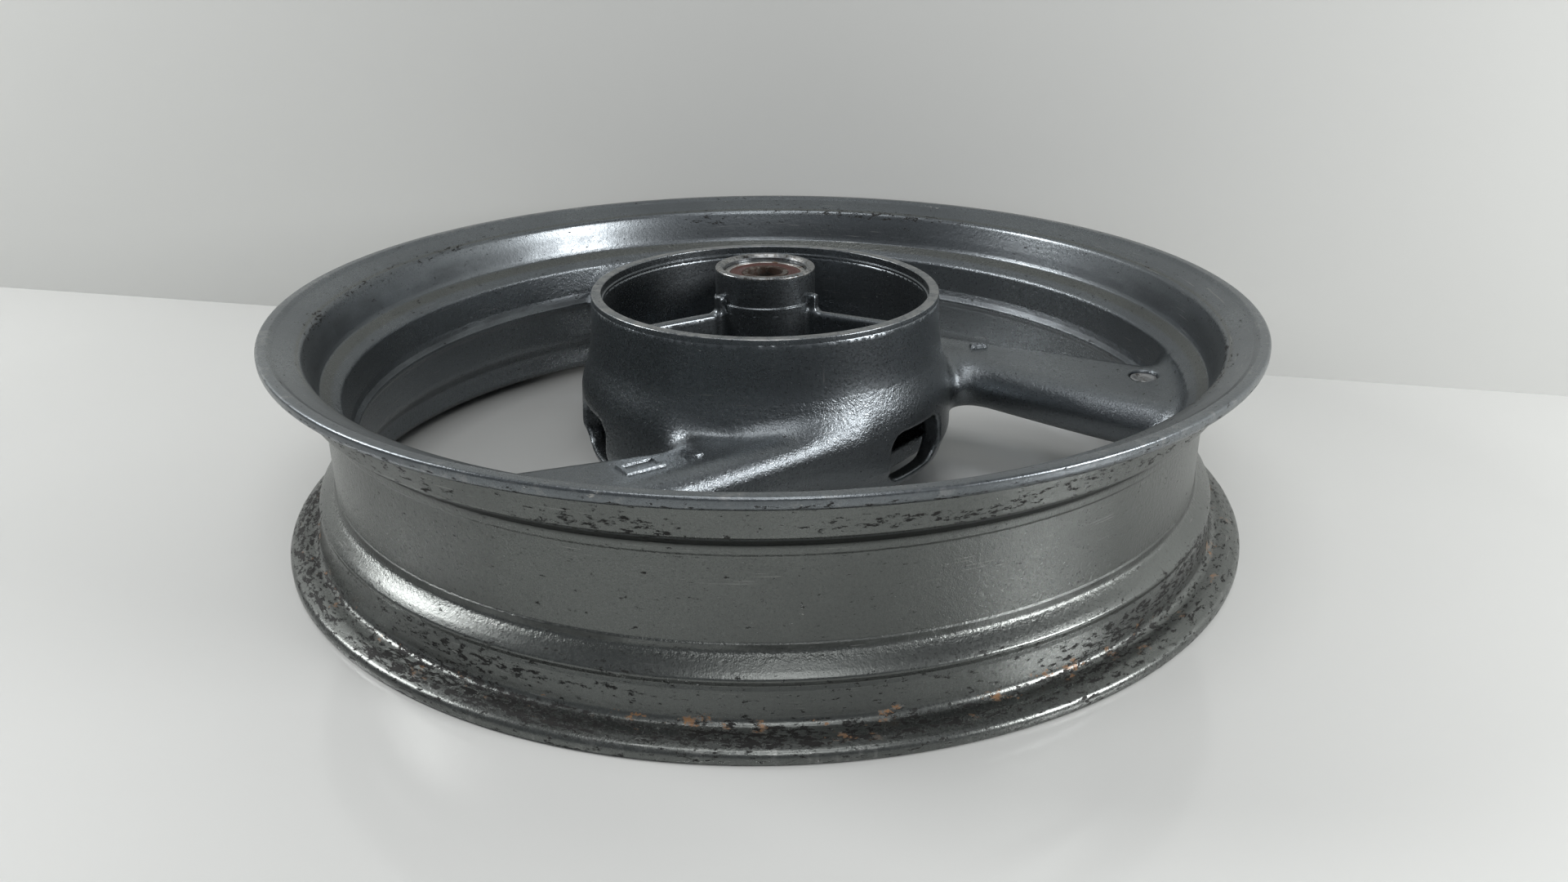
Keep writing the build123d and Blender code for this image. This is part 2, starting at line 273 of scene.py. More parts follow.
@dataclass(frozen=True)
class PaintedCasting:
    """Dark silver-grey metallic paint over cast aluminium, chipped and corroded at the bead seats."""

    paint: Colour = (0.194, 0.211, 0.223)
    deep: Colour = (0.147, 0.161, 0.172)
    # Tyre side: a warmer tint, and darker as painted shade
    tyre_side_paint_and_shade: Colour = (0.171, 0.18, 0.1735)
    tyre_side_deep_and_shade: Colour = (0.129, 0.136, 0.131)
    bare: Colour = (0.4, 0.4, 0.39)
    corroded: Colour = (0.007, 0.0065, 0.006)
    rust: Colour = (0.27, 0.15, 0.075)
    tarnish: Colour = (0.045, 0.034, 0.024)
    metallic: float = 0.95
    gloss: float = 0.29
    skin_depth: float = 0.0004
    chip_depth: float = 0.00012

    def coat(self, s: Shader, cloud: Level, flake: Level) -> Socket:
        """Flecked paint, warmer on the side that the tyre covers and darker there as painted shade.

        Args:
            s: The shader.
            cloud: Its broad unevenness.
            flake: Its metal flakes.

        Returns:
            The colour before any wear.
        """
        tone = cloud.above(0.3, 0.72)
        well = s.radius.above(0.2035, 0.2055) * s.z.within(0.0260, 0.0790, 0.0005)
        low_side = s.radius.above(0.2125, 0.2135) * (1 - s.z.above(0.0262, 0.0272))
        high_side = s.radius.above(0.2152, 0.2160) * (1 - s.z.above(0.0975, 0.0985))
        colour = s.blend(tone, self.paint, self.deep)
        # The tyre side gets its warmer tint and its painted shade
        worn = s.blend(tone, self.tyre_side_paint_and_shade, self.tyre_side_deep_and_shade)
        colour = s.blend(well.most(low_side).most(high_side), colour, worn)
        fleck = s.noise(2600, 2, 0.7)
        return s.shade(colour, 0.6 + fleck * 0.45 + flake * 0.35)

    @staticmethod
    def dark_creases_and_shade(s: Shader, outside: Level) -> Level:
        """Patchy darkening where the section turns a corner, and a band of painted shade under the upper hump.

        Args:
            s: The shader.
            outside: Mask of the seats and flanges.

        Returns:
            Its mask.
        """
        groove = s.z.within(0.0815, 0.0905, 0.003) * (1 - outside) * s.radius.above(0.205, 0.208)
        hollow = s.z.within(0.052, 0.0565, 0.0012) * s.radius.within(0.1965, 0.2, 0.001)
        well_edge = s.z.within(0.0325, 0.0352, 0.0008) * s.radius.within(0.2075, 0.2102, 0.0006)
        # Painted shade: a dark band under the upper hump that stands in for a dark reflection
        under_hump_shade = s.z.within(0.0732, 0.0790, 0.0009) * s.radius.above(0.2087, 0.2095)
        patchy = s.noise(1, 5, 0.6, s.stretched(26, 60, 60)).above(0.3, 0.62)
        return ((groove * 0.5).most(hollow * 0.55).most(well_edge * 0.7) * patchy).most(under_hump_shade)

    @staticmethod
    def scratches(s: Shader) -> Level:
        """Fine scratches, round the barrel and upright in the cup.

        Args:
            s: The shader.

        Returns:
            Their mask.
        """
        hair = s.noise(1, 3, 0.5, s.stretched(55, 1400, 1700)).above(0.655, 0.685)
        hair = hair * s.noise(1, 2, 0.5, s.stretched(14, 30, 40)).above(0.5, 0.62)
        tick = s.noise(1, 2, 0.5, s.stretched(1500, 700, 60)).above(0.67, 0.70)
        tick = tick * s.noise(30, 2).above(0.52, 0.6) * s.radius.within(0.05, 0.1, 0.002)
        return hair.most(tick) * 0.5

    @staticmethod
    def rubbed(s: Shader) -> tuple[Level, Level]:
        """Turned edges rubbed to bare metal.

        Args:
            s: The shader.

        Returns:
            Masks of the bare metal and of the brown tarnish on the boss.
        """
        lip = s.radius.above(0.2292, 0.2312).most(s.z.above(0.1027, 0.1033) * s.radius.above(0.222, 0.226))
        cup_rim = s.z.above(0.1066, 0.1071) * s.radius.within(0.0785, 0.085, 0.0004)
        nose = s.z.above(0.1158, 0.1168) * (1 - s.radius.above(0.0246, 0.025))
        rub = s.noise(140, 6, 0.7)
        worn = lip * rub.above(0.54, 0.66) * 0.3
        worn = worn.most(cup_rim * rub.above(0.42, 0.6) * 0.6).most(nose * rub.above(0.36, 0.6) * 0.8)
        return worn, nose * s.noise(520, 5, 0.7).above(0.47, 0.6) * 0.75

    @staticmethod
    def chips(s: Shader, outside: Level) -> tuple[Level, Level]:
        """Chips: black corrosion on both bead seats, pale ones along the lips.

        Args:
            s: The shader.
            outside: Mask of the seats and flanges.

        Returns:
            Masks of the black and of the pale chips.
        """
        low_seat = s.z.within(0.0045, 0.0265, 0.0022) * outside
        high_seat = s.z.within(0.0745, 0.0985, 0.0018) * s.radius.above(0.2115, 0.2135)
        flange = s.radius.within(0.2185, 0.2290, 0.0008) * (1 - s.z.above(0.0085, 0.0105))
        under_lip = s.radius.above(0.2265, 0.2290) * (1 - s.z.above(0.1, 0.102)) * 0.06
        patch = s.noise(1, 3, 0.6, s.stretched(9, 40, 90))
        dense = low_seat * (0.03 + patch.above(0.42, 0.64) * 0.085) + flange * 0.035
        dense = dense.most(high_seat * (0.008 + patch.above(0.47, 0.66) * 0.095))
        crumb = s.noise(1, 9, 0.75, s.stretched(210, 460, 560))
        black = (crumb + dense.most(under_lip)).above(0.628, 0.637)
        pale_crumb = s.noise(1, 7, 0.7, s.stretched(130, 260, 260))
        pale_zone = s.radius.above(0.2235, 0.2245) * s.z.above(0.1, 0.101) * 0.055
        return black, (pale_crumb + pale_zone).above(0.715, 0.73)

    @staticmethod
    def rust_spots(s: Shader, outside: Level) -> Level:
        """Rust-coloured spots along the fillet of the lower flange.

        Args:
            s: The shader.
            outside: Mask of the seats and flanges.

        Returns:
            Their mask.
        """
        line = s.z.within(0.0068, 0.0125, 0.0012) * outside
        spot = s.noise(1, 6, 0.72, s.stretched(80, 130, 130))
        return (spot + line * 0.05).above(0.638, 0.662) * line

    def build(self, name: str) -> Material:
        """Builds the paint with its wear.

        Args:
            name: The material's name.

        Returns:
            The material.
        """
        s = Shader(name)
        outside = s.radius.above(0.2130, 0.2145)
        cloud, flake = s.noise(9, 4), s.noise(900, 2, 0.6)
        dark_creases_and_shade, spots = self.dark_creases_and_shade(s, outside), self.rust_spots(s, outside)
        worn, tarnish = self.rubbed(s)
        black, pale = self.chips(s, outside)
        # Darkens the creases in patches and paints shade under the upper hump
        colour = s.shade(self.coat(s, cloud, flake), 1 - dark_creases_and_shade * 0.7)
        for mask, tint in (
            (self.scratches(s), self.bare),
            (worn, self.bare),
            (tarnish, self.tarnish),
            (pale, self.bare),
            (black, self.corroded),
            (spots * s.noise(500, 3).above(0.36, 0.56), self.rust),
        ):
            colour = s.blend(mask, colour, tint)

        # As-cast skin in the wheel, smoother turned surfaces outside
        turned_face = s.radius.above(0.2105, 0.2125).most(s.z.above(0.0785, 0.08))
        orange = s.noise(520, 3, 0.55) * 0.6 + s.noise(1500, 2, 0.6) * 0.4
        normal = s.relief((orange - 0.5) * (1 - turned_face * 0.65), self.skin_depth)
        normal = s.relief(1 - black.most(pale), self.chip_depth, normal)
        rough = self.gloss + (flake - 0.5) * 0.16 + (cloud - 0.5) * 0.14 + dark_creases_and_shade * 0.15
        return s.finish(
            Base_Color=colour,
            Metallic=self.metallic * (1 - black.most(spots) * 0.9),
            Roughness=rough + black * 0.32 + worn * 0.05,
            Normal=normal,
            Specular_IOR_Level=0.45,
        )


@dataclass(frozen=True)
class WornMetal:
    """Bare or thinly coated metal with stain and fine turning marks."""

    metal: Colour
    stain: Colour
    amount: float
    gloss: float
    metallic: float = 0.9

    def build(self, name: str) -> Material:
        """Builds the metal; a larger amount shows more stain.

        Args:
            name: The material's name.

        Returns:
            The material.
        """
        s = Shader(name)
        blot = s.noise(260, 7, 0.68)
        rings = s.noise(1, 2, 0.5, s.stretched(10, 5200, 300))
        stained = blot.above(0.66 - self.amount, 0.74 - self.amount)
        colour = s.blend(stained, self.metal, self.stain)
        colour = s.shade(colour, 0.86 + rings * 0.28)
        normal = s.relief(rings * 0.4 + blot * 0.6, 0.00006)
        return s.finish(
            Base_Color=colour,
            Metallic=self.metallic * (1 - stained * 0.75),
            Roughness=self.gloss + stained * 0.3 + (rings - 0.5) * 0.1,
            Normal=normal,
        )


@dataclass(frozen=True)
class DullMoulding:
    """Rubber or moulded plastic with dust in its pores."""

    colour: Colour
    dust: Colour
    gloss: float

    def build(self, name: str) -> Material:
        """Builds the moulding.

        Args:
            name: The material's name.

        Returns:
            The material.
        """
        s = Shader(name)
        pores = s.noise(1400, 3, 0.6)
        film = s.noise(220, 5, 0.65)
        colour = s.blend(film.above(0.45, 0.68) * 0.65, self.colour, self.dust)
        colour = s.shade(colour, 0.82 + pores * 0.36)
        normal = s.relief(pores * 0.5 + film * 0.5, 0.00008)
        return s.finish(Base_Color=colour, Roughness=self.gloss + (film - 0.5) * 0.2, Normal=normal)


# Mesh building


def rounded(corners: Sequence[Corner]) -> Array:
    """Rounds the corners of a closed section.

    Args:
        corners: Radius, height and fillet radius of each corner, in order.

    Returns:
        The section's points, with two more on each long straight run so that it shades flat.
    """
    arc_step, edge_share, long_run, margin = 13.0, 0.46, 3.0, 0.7
    points: list[Array] = []
    count = len(corners)
    for index, (r, z, fillet) in enumerate(corners):
        here = np.array((r, z))
        back = np.array(corners[index - 1][:2]) - here
        on = np.array(corners[(index + 1) % count][:2]) - here
        back_length, on_length = np.linalg.norm(back), np.linalg.norm(on)
        back, on = back / back_length, on / on_length
        angle = math.acos(float(np.clip(back @ on, -1, 1)))
        if fillet <= 0 or angle > math.pi - 0.03:
            points.append(here)
            continue
        cut = min(fillet / math.tan(angle / 2), edge_share * back_length, edge_share * on_length)
        radius = cut * math.tan(angle / 2)
        middle = back + on
        centre = here + middle / np.linalg.norm(middle) * radius / math.sin(angle / 2)
        start, end = here + back * cut - centre, here + on * cut - centre
        first = math.atan2(start[1], start[0])
        sweep = (math.atan2(end[1], end[0]) - first + math.pi) % (2 * math.pi) - math.pi
        steps = max(2, math.ceil(abs(math.degrees(sweep)) / arc_step))
        for step in range(steps + 1):
            turn = first + sweep * step / steps
            points.append(centre + radius * np.array((math.cos(turn), math.sin(turn))))
    full: list[Array] = []
    for index, point in enumerate(points):
        after = points[(index + 1) % len(points)]
        run = float(np.linalg.norm(after - point))
        full.append(point)
        if run > long_run:
            step_in = (after - point) * (margin / run)
            full += [point + step_in, after - step_in]
    return np.array(full)


def in_scene(name: str, data: bpy.types.ID) -> Piece:
    """Puts a mesh, a lamp or a camera in the scene.

    Args:
        name: The object's name.
        data: What it holds.

    Returns:
        The object.
    """
    thing = bpy.data.objects.new(name, data)
    bpy.context.scene.collection.objects.link(thing)
    return thing


def finished(mesh: bpy.types.Mesh, material: Material) -> Piece:
    """Shades a mesh smooth, gives it its finish and puts it in the scene.

    Args:
        mesh: The mesh, named like its piece.
        material: Its finish.

    Returns:
        The piece.
    """
    mesh.polygons.foreach_set("use_smooth", np.ones(len(mesh.polygons), dtype=bool))
    mesh.materials.append(material)
    return in_scene(mesh.name, mesh)


def make_piece(name: str, points: Array, faces: Array, material: Material) -> Piece:
    """Makes an object from points in millimetres.

    Args:
        name: The piece's name.
        points: One row of x, y, z for each point.
        faces: One row of point numbers for each four-sided face.
        material: Its finish.

    Returns:
        The object, in the scene.
    """
    mesh = bpy.data.meshes.new(name)
    mesh.vertices.add(len(points))
    mesh.vertices.foreach_set("co", (points * MM).astype(np.float32).ravel())
    mesh.loops.add(faces.size)
    mesh.loops.foreach_set("vertex_index", faces.astype(np.int32).ravel())
    mesh.polygons.add(len(faces))
    mesh.polygons.foreach_set("loop_start", np.arange(0, faces.size, 4, dtype=np.int32))
    mesh.update(calc_edges=True)
    mesh.validate()
    return finished(mesh, material)


def turned(
    name: str,
    corners: Sequence[Corner],
    material: Material,
    segments: int = 360,
    centre: Pair = (0.0, 0.0),
) -> Piece:
    """Turns a closed section about an upright axis.

    Args:
        name: The piece's name.
        corners: Radius, height and fillet radius of each corner.
        material: Its finish.
        segments: Steps round the circle.
        centre: Where the axis stands, in millimetres.

    Returns:
        The turned piece.
    """
    section = rounded(corners)
    r, z = section[:, 0], section[:, 1]
    if np.sum(r * np.roll(z, -1) - np.roll(r, -1) * z) < 0:
        section = section[::-1]
        r, z = section[:, 0], section[:, 1]
    turn = np.arange(segments) * 2 * math.pi / segments
    x = centre[0] + np.outer(r, np.cos(turn))
    y = centre[1] + np.outer(r, np.sin(turn))
    points = np.stack((x, y, np.repeat(z[:, None], segments, 1)), -1).reshape(-1, 3)
    row, step = np.meshgrid(np.arange(len(section)), np.arange(segments), indexing="ij")
    after_row, after = (row + 1) % len(section), (step + 1) % segments
    here, there = row * segments, after_row * segments
    faces = np.stack((here + step, here + after, there + after, there + step), -1).reshape(-1, 4)
    piece = make_piece(name, points, faces, material)
    if r.min() < 0.01:
        weld(piece)
    piece.data.set_sharp_from_angle(angle=SHARP_TURN)
    return piece


def weld(piece: Piece) -> None:
    """Joins points of a piece that lie on each other.

    Args:
        piece: The piece, with a fan of points on its axis.
    """
    work = bmesh.new()
    work.from_mesh(piece.data)
    bmesh.ops.remove_doubles(work, verts=work.verts, dist=0.00002)
    bare = [edge for edge in work.edges if not edge.link_faces]
    bmesh.ops.delete(work, geom=bare, context="EDGES")
    work.to_mesh(piece.data)
    work.free()


def seat(piece: Piece, body: Body, slot: Slot, *nodes: str) -> Piece:
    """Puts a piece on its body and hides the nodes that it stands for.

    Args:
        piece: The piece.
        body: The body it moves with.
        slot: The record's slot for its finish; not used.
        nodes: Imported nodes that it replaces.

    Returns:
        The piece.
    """
    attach(piece, body.value)
    if nodes:
        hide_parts(*nodes)
    LOG.info("%s: %d points, rides on %s", piece.name, len(piece.data.vertices), body.value)
    return piece


def seat_casting(piece: Piece) -> Piece:
    """Puts a piece of the one wheel casting in its place."""
    return seat(piece, Body.WHEEL, Slot.CASTING, "wheel_casting")


# Rounded forms as distance fields, in millimetres


def toward(azimuth: float, x: Array, y: Array) -> tuple[Array, Array]:
    """Distances along an azimuth and to its left."""
    a = math.radians(azimuth)
    return x * math.cos(a) + y * math.sin(a), y * math.cos(a) - x * math.sin(a)


def merge(first: Array, second: Array, fillet: float) -> Array:
    """Joins two forms with a fillet."""
    share = np.clip(0.5 + 0.5 * (second - first) / fillet, 0, 1)
    return second + (first - second) * share - fillet * share * (1 - share)


def remove(form: Array, cutter: Array, fillet: float) -> Array:
    """Takes a cutter out of a form and rounds the edge."""
    return -merge(-form, cutter, fillet)


def block(*reaches: Array, corner: float) -> Array:
    """A rounded block, from how far a point lies past the middle of each pair of sides.

    Args:
        reaches: Distance past each pair of sides.
        corner: Radius of the rounded edges.

    Returns:
        Distance to the block.
    """
    past = [reach + corner for reach in reaches]
    outside = np.sqrt(sum(np.maximum(p, 0) ** 2 for p in past))
    inside = np.minimum(np.maximum.reduce(past), 0)
    return outside + inside - corner


class SectionField:
    """Distance to a turned section, kept as a table over radius and height."""

    STEP = 0.4
    LOW_Z = -6.0
    HIGH_Z = 126.0

    def __init__(self, corners: Sequence[Pair], reach: float) -> None:
        """Fills the table.

        Args:
            corners: Radius and height of each corner of the section.
            reach: Largest radius of the table.
        """
        radii = np.arange(0, reach + self.STEP, self.STEP)
        heights = np.arange(self.LOW_Z, self.HIGH_Z, self.STEP)
        r, z = np.meshgrid(radii, heights, indexing="ij")
        nearest = np.full(r.shape, 1e9)
        inside = np.zeros(r.shape, dtype=bool)
        for (r0, z0), (r1, z1) in zip(corners, [*corners[1:], corners[0]]):
            dr, dz = r1 - r0, z1 - z0
            share = np.clip(((r - r0) * dr + (z - z0) * dz) / (dr * dr + dz * dz), 0, 1)
            gap = (r - r0 - share * dr) ** 2 + (z - z0 - share * dz) ** 2
            nearest = np.minimum(nearest, gap)
            if z0 != z1:
                crosses = (z0 > z) != (z1 > z)
                inside ^= crosses & (r < r0 + (z - z0) * dr / dz)
        self.table = (np.sqrt(nearest) * np.where(inside, -1, 1)).astype(np.float32)

    def __call__(self, radius: Array, height: Array) -> Array:
        """Reads the table between its entries.

        Args:
            radius: Distances from the axle axis.
            height: Heights.

        Returns:
            Distance to the section at each place.
        """
        u = np.clip(radius / self.STEP, 0, self.table.shape[0] - 1.001)
        v = np.clip((height - self.LOW_Z) / self.STEP, 0, self.table.shape[1] - 1.001)
        i, j = u.astype(np.int32), v.astype(np.int32)
        fu, fv = u - i, v - j
        t = self.table
        low = t[i, j] * (1 - fu) + t[i + 1, j] * fu
        high = t[i, j + 1] * (1 - fu) + t[i + 1, j + 1] * fu
        return low * (1 - fv) + high * fv


Field = Callable[[Array, Array, Array], Array]


class Skin:
    """Meshes the surface of a distance field."""

    SLICE = 24
    PASSES = 4
    REACH = 0.35

    def __init__(self, field: Field, low: Sequence[float], high: Sequence[float], step: float) -> None:
        """Keeps the field and its grid.

        Args:
            field: Distance at arrays of x, y and z.
            low: Lowest corner of the grid.
            high: Highest corner of the grid.
            step: Size of a cell.
        """
        self.field = field
        self.axes = [np.arange(a, b + step, step, dtype=np.float32) for a, b in zip(low, high)]
        self.step = step

    def sampled(self) -> Array:
        """Works out the field in slices, to save memory.

        Returns:
            Distance at each point of the grid.
        """
        x, y, z = self.axes
        grid = np.empty((len(x), len(y), len(z)), dtype=np.float32)
        for first in range(0, len(x), self.SLICE):
            part = slice(first, first + self.SLICE)
            grid[part] = self.field(*np.meshgrid(x[part], y, z, indexing="ij"))
        return grid

    def slope(self, points: Array) -> Array:
        """Outward direction of the field.

        Args:
            points: Places in the field.

        Returns:
            A unit vector for each point.
        """
        sides = []
        for axis in range(3):
            shift = np.zeros(3)
            shift[axis] = self.REACH
            ahead, behind = (points + shift).T, (points - shift).T
            sides.append(self.field(*ahead) - self.field(*behind))
        slope = np.stack(sides, -1)
        return slope / np.maximum(np.linalg.norm(slope, axis=1, keepdims=True), 1e-9)

    def surface(self) -> tuple[Array, Array, Array]:
        """Builds one point in each cell that the surface crosses, and one face across each edge.

        Returns:
            Points, four-sided faces and unit normals.
        """
        grid = self.sampled()
        inside = grid < 0
        corners = [np.array(((n >> 2) & 1, (n >> 1) & 1, n & 1)) for n in range(8)]
        size = np.array(grid.shape) - 1
        count = np.zeros(size, dtype=np.uint8)
        for i, j, k in corners:
            count += inside[i:i + size[0], j:j + size[1], k:k + size[2]]
        cells = np.argwhere((count > 0) & (count < 8))
        number = np.full(size, -1, dtype=np.int64)
        number[tuple(cells.T)] = np.arange(len(cells))
        values = np.stack([grid[tuple((cells + c).T)] for c in corners], -1)
        total = np.zeros((len(cells), 3))
        hits = np.zeros(len(cells))
        for a in range(8):
            for bit in (1, 2, 4):
                b = a | bit
                if b == a:
                    continue
                va, vb = values[:, a], values[:, b]
                crossed = (va < 0) != (vb < 0)
                share = np.where(crossed, va / np.where(crossed, va - vb, 1), 0)
                point = corners[a] + share[:, None] * (corners[b] - corners[a])
                total += np.where(crossed[:, None], point, 0)
                hits += crossed
        origin = np.array([axis[0] for axis in self.axes])
        points = origin + (cells + total / hits[:, None]) * self.step
        for _ in range(self.PASSES):
            move = self.field(*points.T)[:, None] * self.slope(points)
            points -= np.clip(move, -0.5 * self.step, 0.5 * self.step)
        faces = [self._faces(inside, number, axis) for axis in range(3)]
        return points, np.concatenate(faces), self.slope(points)

    @staticmethod
    def _faces(inside: Array, number: Array, axis: int) -> Array:
        """Makes the faces across the grid's edges that run along an axis.

        Args:
            inside: Which points of the grid lie in the form.
            number: Number of the point in each cell, or -1.
            axis: The axis.

        Returns:
            One row of point numbers for each face.
        """
        ahead = [0, 0, 0]
        ahead[axis] = 1
        size = np.array(inside.shape) - ahead
        here = inside[: size[0], : size[1], : size[2]]
        there = inside[ahead[0]:, ahead[1]:, ahead[2]:]
        one, two = (axis + 1) % 3, (axis + 2) % 3
        edges = np.argwhere(here != there)
        limit = np.array(number.shape)
        usable = (edges[:, one] > 0) & (edges[:, two] > 0)
        usable &= (edges[:, one] < limit[one]) & (edges[:, two] < limit[two])
        edges = edges[usable]
        ring = []
        for back_one, back_two in ((1, 1), (0, 1), (0, 0), (1, 0)):
            cell = edges.copy()
            cell[:, one] -= back_one
            cell[:, two] -= back_two
            ring.append(number[tuple(cell.T)])
        faces = np.stack(ring, -1)
        leaving = here[tuple(edges.T)]
        faces[~leaving] = faces[~leaving][:, ::-1]
        return faces[(faces >= 0).all(1)]


# The wheel's sub-assemblies


@dataclass(frozen=True)
class RimBarrel:
    """The turned barrel with both flanges, as one closed shell of revolution."""

    lip: float = 232.28
    valve_azimuth: float = 84.0
    valve_reach: float = 204.0
    valve_height: float = 62.8
    valve_radius: float = 5.75
    drill_length: float = 24.0

    def tyre_side(self) -> list[Corner]:
        """Corners from the upper lip down the tyre side.

        Returns:
            Corners down to the lower lip.
        """
        return [
            (self.lip, 103.6, 1.4), (self.lip, 98.85, 4.6), (225.8, 96.25, 7.0), (218.6, 96.25, 5.6),
            (216.7, 81.0, 1.6), (214.6, 79.2, 1.5), (209.2, 74.6, 4.0), (209.0, 73.0, 0.8),
            (208.9, 70.9, 0.4), (208.4, 69.9, 0.6), (208.3, 35.3, 0.5), (208.9, 34.7, 0.4),
            (209.1, 31.9, 5.0), (214.6, 27.1, 4.0), (216.9, 24.9, 1.6), (216.2, 22.3, 0.7),
            (216.7, 20.6, 0.7), (218.5, 7.35, 5.4), (225.8, 7.35, 7.0), (self.lip, 4.75, 4.6),
            (self.lip, 0.0, 1.4),
        ]

    def air_side(self) -> list[Corner]:
        """Corners from the lower lip up the air side.

        Returns:
            Corners up to the upper lip.
        """
        return [
            (228.2, 0.0, 1.8), (225.6, 1.2, 3.0), (219.0, 2.9, 6.0), (212.6, 5.2, 4.0), (209.2, 8.6, 5.0),
            (208.9, 19.6, 6.0), (200.6, 28.4, 8.0), (199.5, 41.0, 0.0), (198.9, 47.6, 2.0),
            (196.5, 50.2, 1.2), (196.4, 52.0, 1.0), (198.3, 54.3, 1.4), (199.2, 57.5, 3.0),
            (200.3, 72.8, 3.0), (209.2, 79.3, 1.3), (209.9, 81.2, 1.6), (211.2, 86.0, 6.0),
            (214.4, 96.8, 3.4), (219.5, 99.4, 8.0), (225.4, 101.9, 3.0), (227.6, 103.6, 1.8),
        ]

    def build(self, paint: Material) -> Piece:
        """Turns the barrel and drills the valve hole.

        Args:
            paint: Its finish.

        Returns:
            The barrel.
        """
        barrel = turned("rim_barrel", self.tyre_side() + self.air_side(), paint, segments=420)
        azimuth = math.radians(self.valve_azimuth)
        reach = self.valve_reach
        place = Vector((math.cos(azimuth) * reach, math.sin(azimuth) * reach, self.valve_height)) * MM
        tilt = Matrix.Rotation(azimuth, 4, "Z") @ Matrix.Rotation(math.pi / 2, 4, "Y")
        radius, depth = self.valve_radius * MM, self.drill_length * MM
        work = bmesh.new()
        bmesh.ops.create_cone(work, cap_ends=True, segments=48, radius1=radius, radius2=radius, depth=depth)
        work.transform(Matrix.Translation(place) @ tilt)
        drill = in_scene("valve_drill", bpy.data.meshes.new("valve_drill"))
        work.to_mesh(drill.data)
        work.free()
        cut = barrel.modifiers.new("valve_hole", "BOOLEAN")
        cut.object = drill
        cut.operation = "DIFFERENCE"
        cut.solver = "MANIFOLD"
        bpy.context.view_layer.update()
        shaped = bpy.data.meshes.new_from_object(barrel.evaluated_get(bpy.context.evaluated_depsgraph_get()))
        barrel.modifiers.clear()
        barrel.data = shaped
        shaped.set_sharp_from_angle(angle=SHARP_TURN)
        bpy.data.objects.remove(drill)
        return seat_casting(barrel)

    def wall(self) -> list[Pair]:
        """The barrel's section for the fillets of the spokes: its air side and a plain back."""
        air = [(r, z) for r, z, _ in self.air_side()]
        return air + [(214.0, 100.0), (214.0, 2.0)]


